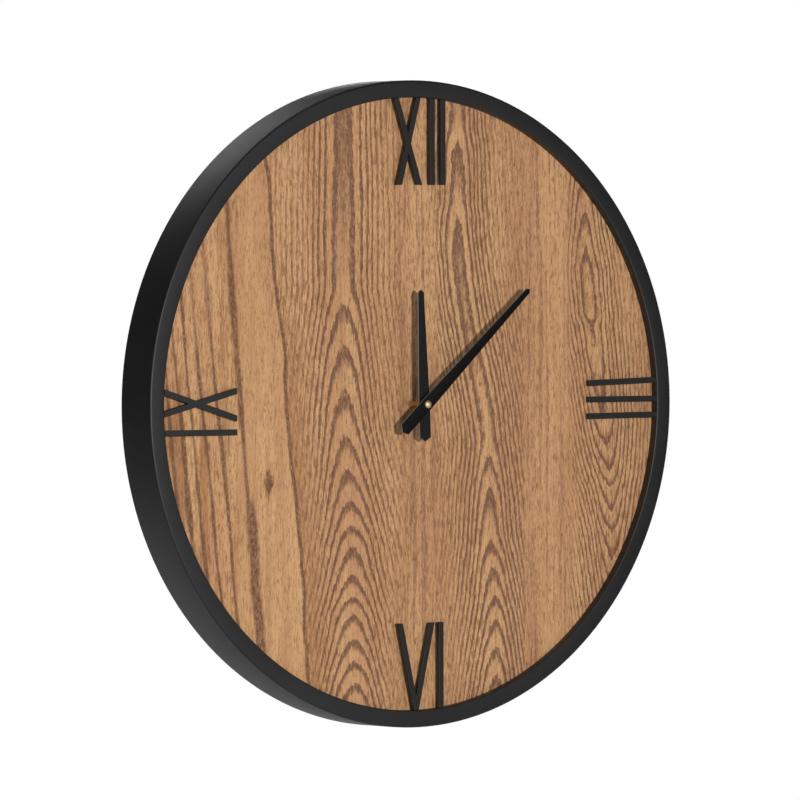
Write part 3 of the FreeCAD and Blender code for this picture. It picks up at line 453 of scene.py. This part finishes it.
def right_leaf():
    leaf = AshLeaf("ash_right_leaf")
    base = leaf.finish.mix(leaf.grain(0.04, 0.004, 2.0).rise(0.3, 0.7), WARM_ASH, PALE_ASH)
    axis = leaf.z.rise(177, -124) * 33 + 203
    count = leaf.flame(axis, EYE_LEVELS, 0.016, 0.0062, 18.0, 0.21)
    near = leaf.x.rise(178, 192)
    rings = leaf.lines(count, 0.20, 0.34) * near
    fine_lines = leaf.grain(0.26, 0.006, 2.0, 0.5, 19.0).rise(0.52, 0.66) * (1 - near)
    base = leaf.finish.mix(leaf.x.rise(152, 138) * 0.35, base, PINK_ASH)
    marks = [(rings * leaf.boldness(axis), LINE_BROWN), (fine_lines * 0.36, LINE_BROWN)]
    return leaf.complete(base, marks, leaf.x.band(172, 16, 10) * 0.7)


def fibreboard():
    """Pressed fibreboard: matted short fibres and a few dark specks."""
    finish = Finish("raw_fibreboard", Specular_IOR_Level=0.2)
    x, y, z = finish.place()
    mat = finish.noise(finish.point(x, y, z), 0.9, 5.0, 0.7)
    cloud = finish.noise(finish.point(x, y, z), 0.05, 3.0)
    speck = finish.noise(finish.point(x * 2.2, y, z), 1.4, 2.0).rise(0.68, 0.76)
    colour = finish.mix(cloud * 0.5 + mat * 0.5, (0.36, 0.235, 0.135), (0.25, 0.155, 0.085))
    finish.feed("Base Color", finish.mix(speck * 0.6, colour, (0.10, 0.06, 0.035)))
    finish.feed("Roughness", 0.78 + 0.12 * mat)
    return finish.relief(mat, 0.06, 0.6).material


# ---------------------------------------------------------------- finishes by slot

FINISHES = {
    "black_steel": powder_coat().material,
    "fibreboard": fibreboard(),
    "black_hand": hand_paint("hand_black", 0.32).material,
    "brass": turned_metal("turned_brass", (0.83, 0.60, 0.27), (0.55, 0.35, 0.13)).material,
    "zinc_screw": plated_metal("zinc_plating", (0.66, 0.66, 0.63), (0.48, 0.47, 0.42)).material,
    "case_plastic": moulded_plastic("case_black", (0.022, 0.022, 0.024),
                                    (0.030, 0.030, 0.033), 0.5).material,
    "washer_rubber": moulded_plastic("washer_rubber", (0.018, 0.018, 0.018),
                                     (0.028, 0.027, 0.026), 0.75, 0.6).material,
    "gear_plastic": moulded_plastic("acetal_white", (0.78, 0.77, 0.72),
                                    (0.68, 0.66, 0.60), 0.38, 0.8).material,
    "knob_plastic": moulded_plastic("knob_red", (0.60, 0.05, 0.035),
                                    (0.46, 0.03, 0.025), 0.3, 0.7).material,
    "contact_metal": plated_metal("nickel_contact", (0.76, 0.75, 0.72),
                                  (0.60, 0.58, 0.54), 0.22).material,
    "circuit_laminate": moulded_plastic("green_laminate", (0.030, 0.150, 0.052),
                                        (0.022, 0.110, 0.042), 0.3, 1.2).material,
    "potting": moulded_plastic("black_epoxy", (0.012, 0.012, 0.012),
                               (0.02, 0.02, 0.02), 0.2, 1.5).material,
    "crystal_can": plated_metal("drawn_can", (0.70, 0.70, 0.70), (0.55, 0.55, 0.55)).material,
    "soft_iron": plated_metal("soft_iron", (0.42, 0.42, 0.43), (0.30, 0.29, 0.28), 0.4).material,
    "magnet": plated_metal("sintered_magnet", (0.14, 0.14, 0.15), (0.09, 0.09, 0.09), 0.5).material,
}


def copper_winding():
    """Fine enamelled wire, one turn beside the next along the coil."""
    finish = Finish("copper_winding", Metallic=1.0, Coat_Weight=0.6)
    x, y, z = finish.place()
    turns = (x * (2 * math.pi / 0.14)).wave() * 0.5 + 0.5
    tint = finish.noise(finish.point(x * 3, y, z), 1.0, 2.0)
    finish.feed("Base Color", finish.mix(tint, (0.62, 0.22, 0.09), (0.42, 0.12, 0.045)))
    finish.feed("Roughness", 0.3 + 0.15 * turns)
    return finish.relief(turns, 0.05, 0.8).material


def cell_sleeve():
    """Plain two-colour printed sleeve over the cell, bare steel at the ends."""
    finish = Finish("cell_sleeve", Specular_IOR_Level=0.5)
    x, y, z = finish.place()
    scuff = finish.noise(finish.point(x, y * 2, z * 2), 1.1, 4.0)
    sleeve = finish.mix(x.rise(9.8, 10.0), (0.035, 0.06, 0.10), (0.55, 0.50, 0.42))
    bare_metal_and_painted_highlight = abs(x + 0.65).rise(24.0, 24.2)
    colour = finish.mix(bare_metal_and_painted_highlight, finish.mix(scuff.rise(0.6, 0.8) * 0.3, sleeve, (0.3, 0.3, 0.3)),
                        (0.62, 0.61, 0.58))
    finish.feed("Base Color", colour)
    finish.feed("Metallic", bare_metal_and_painted_highlight)
    finish.feed("Roughness", 0.25 + 0.2 * scuff)
    return finish.relief(scuff, 0.01, 0.3).material


FINISHES["copper_wire"] = copper_winding()
FINISHES["cell_sleeve"] = cell_sleeve()
OWN_FINISHES = {
    "hour_wheel": acetal_with_brass_pipe().material,
    "hour_hand_collar": turned_metal("tarnished_brass", (0.62, 0.40, 0.15), (0.32, 0.18, 0.06),
                                     0.36).material,
    "centre_bush": moulded_plastic("dull_brass", (0.47, 0.26, 0.11), (0.40, 0.22, 0.09),
                                   0.6).material,
    "cap_nut": turned_metal("pale_brass", (0.88, 0.66, 0.42), (0.64, 0.43, 0.25), 0.48).material,
    "minute_hand": hand_paint("gloss_hand_black", 0.12).material,
    "veneer_left_leaf": left_leaf(),
    "veneer_middle_leaf": middle_leaf(),
    "veneer_right_leaf": right_leaf(),
}
SLOTS = {entry["node"]: entry["material_slot"] for entry in frame["record"]["subparts"]}
BODY_OF = {node: body for body, nodes in frame["record"]["behaviour"]["bodies"].items()
           for node in nodes}


def paint(obj, node):
    """Give an object the finish of one CAD node."""
    material = OWN_FINISHES[node] if node in OWN_FINISHES else FINISHES[SLOTS[node]]
    obj.data.materials.clear()
    obj.data.materials.append(material)


# ---------------------------------------------------------------- mesh helpers

SMOOTH_ANGLE = math.radians(38)
EASED_ANGLE = math.radians(30)


def finished_piece(name, bm, node):
    """Turn a bmesh into the piece that stands for one CAD node."""
    bmesh.ops.recalc_face_normals(bm, faces=bm.faces)
    mesh = bpy.data.meshes.new(name)
    bm.to_mesh(mesh)
    bm.free()
    for face in mesh.polygons:
        face.use_smooth = True
    piece = bpy.data.objects.new(name, mesh)
    bpy.context.scene.collection.objects.link(piece)
    mesh.set_sharp_from_angle(angle=SMOOTH_ANGLE)
    paint(piece, node)
    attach(piece, BODY_OF[node])
    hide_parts(node)
    return piece


def merged_copy(node):
    """A bmesh of a CAD node with its loose triangles joined and flat faces made whole."""
    bm = bmesh.new()
    bm.from_mesh(frame["nodes"][node].data)
    bmesh.ops.remove_doubles(bm, verts=bm.verts, dist=0.002 * MM)
    bmesh.ops.dissolve_limit(bm, angle_limit=math.radians(0.5), verts=bm.verts, edges=bm.edges,
                             use_dissolve_boundaries=False, delimit={"NORMAL"})
    return bm


def ease_edges(bm, radius, segments=3):
    """Round every edge sharper than the eased angle. The radius is in millimetres."""
    sharp = [edge for edge in bm.edges
             if len(edge.link_faces) == 2 and edge.calc_face_angle(0) > EASED_ANGLE]
    bmesh.ops.bevel(bm, geom=sharp, offset=radius * MM, offset_type="OFFSET", segments=segments,
                    profile=0.5, affect="EDGES", clamp_overlap=True, material=-1)


def softened(node, radius):
    """The CAD node's own shape with its edges eased by a radius in millimetres."""
    bm = merged_copy(node)
    ease_edges(bm, radius)
    keep_flats_flat(finished_piece(f"finished_{node}", bm, node))


def keep_flats_flat(piece):
    """Weigh normals by area, so that a large flat face isn't shaded by its eased edges."""
    even = piece.modifiers.new("even_normals", "WEIGHTED_NORMAL")
    even.keep_sharp = True
    even.weight = 100


def spun(profile, axis=AXIS, centre=Vector((0, 0, 0)), steps=64):
    """Spin a closed outline of points about an axis into a solid of revolution."""
    bm = bmesh.new()
    corners = [bm.verts.new(point) for point in profile]
    edges = [bm.edges.new((corners[i - 1], corners[i])) for i in range(len(corners))]
    bmesh.ops.spin(bm, geom=corners + edges, cent=centre, axis=axis, dvec=(0, 0, 0),
                   angle=2 * math.pi, steps=steps, use_merge=True, use_duplicate=False)
    bmesh.ops.remove_doubles(bm, verts=bm.verts, dist=0.001 * MM)
    return bm


def rounded_outline(corners, roundings, segments=5):
    """Corner points in the half plane (radius, height) with arcs in place of sharp corners."""
    outline = []
    count = len(corners)
    for i, (corner, rounding) in enumerate(zip(corners, roundings)):
        here = Vector(corner)
        if not rounding:
            outline.append(here)
            continue
        back = (Vector(corners[i - 1]) - here).normalized()
        ahead = (Vector(corners[(i + 1) % count]) - here).normalized()
        half = back.angle(ahead) / 2
        reach = rounding / math.tan(half)
        centre = here + (back + ahead).normalized() * rounding / math.sin(half)
        start = here + back * reach - centre
        end = here + ahead * reach - centre
        sweep = start.angle(end)
        turn = 1 if start.cross(end) > 0 else -1
        for step in range(segments + 1):
            arm = start.copy()
            arm.rotate(Matrix.Rotation(turn * sweep * step / segments, 2))
            outline.append(centre + arm)
    return outline


def on_dial_axis(outline):
    """Place (radius, height off the wall) points in millimetres in the X-Y half plane."""
    return [Vector((radius * MM, -height * MM, 0)) for radius, height in outline]


# ---------------------------------------------------------------- hoop and numerals

HOOP = {"radius": 300.0, "depth": 46.0, "flange": 16.0, "recess": 8.5, "gauge": 1.5,
        "outer_round": 2.0, "inner_round": 1.4, "edge_ease": 0.3}


def hoop():
    """Folded hoop with rounded bends, spun in fine steps so that its edge is truly round."""
    outer, deep, gauge = HOOP["radius"], HOOP["depth"], HOOP["gauge"]
    lip = outer - HOOP["flange"]
    lip_end = deep - HOOP["recess"]
    ease = HOOP["edge_ease"]
    corners = [(outer - gauge, 0), (outer, 0), (outer, deep), (lip, deep), (lip, lip_end),
               (lip + gauge, lip_end), (lip + gauge, deep - gauge), (outer - gauge, deep - gauge)]
    roundings = [ease, ease, HOOP["outer_round"], HOOP["inner_round"], ease, ease, 0.4, 0.6]
    outline = rounded_outline(corners, roundings, 6)
    return finished_piece("steel_hoop", spun(on_dial_axis(outline), steps=360), "rim_channel")


NUMERAL_PIECES = [
    "numeral_twelve_cross", "numeral_twelve_near_bar", "numeral_twelve_far_bar",
    "numeral_three_top_bar", "numeral_three_middle_bar", "numeral_three_low_bar",
    "numeral_six_vee", "numeral_six_bar", "numeral_nine_cross", "numeral_nine_bar"]

hoop()
for numeral in NUMERAL_PIECES:
    softened(numeral, 0.3)


# ---------------------------------------------------------------- hands and centre

def ridged_hand(node, turn, fall):
    """A hand with a faint ridge down its middle, its edges lower than the ridge.

    The turn is in degrees from the twelve, and the fall in millimetres."""
    bm = merged_copy(node)
    along = Vector((math.sin(math.radians(turn)), 0, math.cos(math.radians(turn))))
    across = Vector((along.z, 0, -along.x))
    bmesh.ops.bisect_plane(bm, geom=bm.verts[:] + bm.edges[:] + bm.faces[:], dist=1e-7,
                           plane_co=(0, 0, 0), plane_no=across)
    front = min(vert.co.y for vert in bm.verts)
    widest = max(abs(vert.co.dot(across)) for vert in bm.verts)
    for vert in bm.verts:
        if vert.co.y < front + 0.1 * MM:
            vert.co.y += fall * MM * abs(vert.co.dot(across)) / widest
    ease_edges(bm, 0.12, 2)
    keep_flats_flat(finished_piece(f"finished_{node}", bm, node))


MINUTE_HAND_TURN = 48.3
RIDGE_FALL = 0.45

softened("hour_hand", 0.15)
ridged_hand("minute_hand", MINUTE_HAND_TURN, RIDGE_FALL)


def heights(node):
    """Lowest and highest distance of a CAD node off the wall, in millimetres."""
    low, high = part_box(node)
    return -high[1] / MM, -low[1] / MM


def turned_collar(node, inner, outer):
    """Plain turned ring between two radii in millimetres, as high as its CAD node."""
    low, high = heights(node)
    corners = [(inner, low), (inner, high), (outer, high), (outer, low)]
    outline = rounded_outline(corners, [0.08, 0.08, 0.15, 0.15], 3)
    finished_piece(f"turned_{node}", spun(on_dial_axis(outline)), node)


def domed_cap(bore, radius, skirt, ease):
    """Cap nut: a short skirt under a true dome, closed over the end of the pipe."""
    seat, top = heights("cap_nut")
    dome = top - seat - skirt
    pipe_end = heights("cannon_pinion")[1]
    ball = (radius ** 2 + dome ** 2) / (2 * dome)
    rise = math.asin(radius / ball)
    outline = [(bore, seat), (radius - ease, seat), (radius, seat + ease), (radius, seat + skirt)]
    steps = 18
    for step in range(1, steps + 1):
        angle = rise * (1 - step / steps)
        outline.append((ball * math.sin(angle), top - ball * (1 - math.cos(angle))))
    outline += [(0, pipe_end), (bore, pipe_end)]
    finished_piece("domed_cap_nut", spun(on_dial_axis(outline), steps=72), "cap_nut")


turned_collar("hour_hand_collar", inner=2.55, outer=3.05)
turned_collar("minute_hand_collar", inner=1.6, outer=2.1)
domed_cap(bore=1.6, radius=3.6, skirt=0.8, ease=0.15)
softened("centre_bush", 0.15)


# ---------------------------------------------------------------- back

def battery():
    """AA cell with rolled ends and its raised positive button."""
    left, shoulder, right, radius, button = -25.2, 23.9, 25.2, 7.25, 2.75
    centre_off_wall, centre_height = 20.95, -21.5
    corners = [(0, left + 0.35), (4.6, left + 0.35), (5.0, left), (radius - 0.5, left),
               (radius - 0.2, left + 0.5), (radius, left + 0.9), (radius, shoulder - 1.0),
               (radius - 0.35, shoulder - 0.15), (radius - 1.0, shoulder),
               (4.2, shoulder - 0.4), (button + 0.3, shoulder - 0.4), (button, shoulder),
               (button, right - 0.3), (button - 0.3, right), (0, right)]
    centre = Vector((0, -centre_off_wall * MM, centre_height * MM))
    outline = [centre + Vector((along * MM, 0, out * MM)) for out, along in corners]
    bm = spun(outline, Vector((1, 0, 0)), centre)
    finished_piece("sleeved_cell", bm, "battery_cell")


EASED_BY = [("case_front", 0.3), ("case_back", 0.25), ("hanger_plate", 0.25),
            ("board_tabs", 0.2), ("board_screws", 0.12), ("movement_screws", 0.12),
            ("setting_knob", 0.2), ("rubber_washer", 0.2), ("circuit_board", 0.1),
            ("quartz_crystal", 0.2), ("positive_contact", 0.1)]

battery()
for node, radius in EASED_BY:
    softened(node, radius)


# ---------------------------------------------------------------- everything still shown as it came

for node, obj in frame["nodes"].items():
    paint(obj, node)


# ---------------------------------------------------------------- room, light and camera

FLOOR_HEIGHT = -0.62
WALL_CENTRE = (0, 0, 0)


def stage_floor():
    """Pale floor a little below the clock, which hangs."""
    bm = bmesh.new()
    bmesh.ops.create_grid(bm, x_segments=1, y_segments=1, size=1.9,
                          matrix=Matrix.Translation((0, 0, FLOOR_HEIGHT)))
    mesh = bpy.data.meshes.new("pale_floor")
    bm.to_mesh(mesh)
    bm.free()
    floor = bpy.data.objects.new("pale_floor", mesh)
    bpy.context.scene.collection.objects.link(floor)
    finish = Finish("floor_paint", Roughness=0.9)
    where = finish.point(*finish.place())
    finish.feed("Base Color", finish.mix(finish.noise(where, 0.01, 3.0), (0.86, 0.86, 0.86),
                                         (0.82, 0.82, 0.82)))
    floor.data.materials.append(finish.material)


def white_room(brightness_seen, brightness_cast):
    """Even white surroundings, dimmer as a light than as a backdrop."""
    world = bpy.data.worlds.new("white_room")
    bpy.context.scene.world = world
    world.use_nodes = True
    nodes, links = world.node_tree.nodes, world.node_tree.links
    seen = nodes["Background"]
    seen.inputs["Strength"].default_value = brightness_seen
    seen.inputs["Color"].default_value = (1, 1, 1, 1)
    cast = nodes.new("ShaderNodeBackground")
    cast.inputs["Color"].default_value = (0.97, 0.98, 1.0, 1)
    cast.inputs["Strength"].default_value = brightness_cast
    ray = nodes.new("ShaderNodeLightPath")
    blend = nodes.new("ShaderNodeMixShader")
    links.new(ray.outputs["Is Camera Ray"], blend.inputs["Fac"])
    links.new(cast.outputs[0], blend.inputs[1])
    links.new(seen.outputs[0], blend.inputs[2])
    links.new(blend.outputs[0], nodes["World Output"].inputs["Surface"])


def softbox(name, place, aim, width, height, power, tint=(1, 1, 1)):
    """Rectangular lamp that the camera doesn't see. Sizes in metres, power in watts."""
    lamp = bpy.data.lights.new(name, "AREA")
    lamp.shape = "RECTANGLE"
    lamp.size = width
    lamp.size_y = height
    lamp.energy = power
    lamp.color = tint
    stand = bpy.data.objects.new(name, lamp)
    stand.location = place
    stand.rotation_euler = (Vector(aim) - Vector(place)).to_track_quat("-Z", "Y").to_euler()
    stand.visible_camera = False
    bpy.context.scene.collection.objects.link(stand)


def camera():
    """Long lens from the left of the dial, a touch above its centre."""
    lens = bpy.data.cameras.new("studio_camera")
    lens.lens = 390.25
    lens.sensor_width = 36.0
    lens.clip_end = 50.0
    eye = bpy.data.objects.new("studio_camera", lens)
    eye.location = (-4.78548, -6.50216, 0.142855)
    eye.rotation_euler = (1.553496, 0.0028, -0.636048)
    bpy.context.scene.collection.objects.link(eye)
    bpy.context.scene.camera = eye


bpy.context.scene.view_settings.view_transform = "Standard"
stage_floor()
white_room(brightness_seen=1.0, brightness_cast=0.09)
softbox("key_softbox", (-1.35, -3.45, 0.18), WALL_CENTRE, 0.22, 0.22, 85, (1.0, 0.988, 0.97))
softbox("right_softbox", (0.55, -2.0, 0.1), (-0.3, 0, 0), 0.40, 0.9, 4.0)
softbox("top_back_softbox", (0.2, 2.0, 1.6), (0, 0, 0.1), 1.0, 0.7, 5)
softbox("back_softbox", (1.1, 1.7, 0.3), WALL_CENTRE, 0.8, 0.8, 20)
softbox("floor_softbox", (-0.5, 0.9, 0.0), (-0.5, 0.9, FLOOR_HEIGHT), 0.8, 0.8, 2.6)
camera()

bpy.context.view_layer.update()
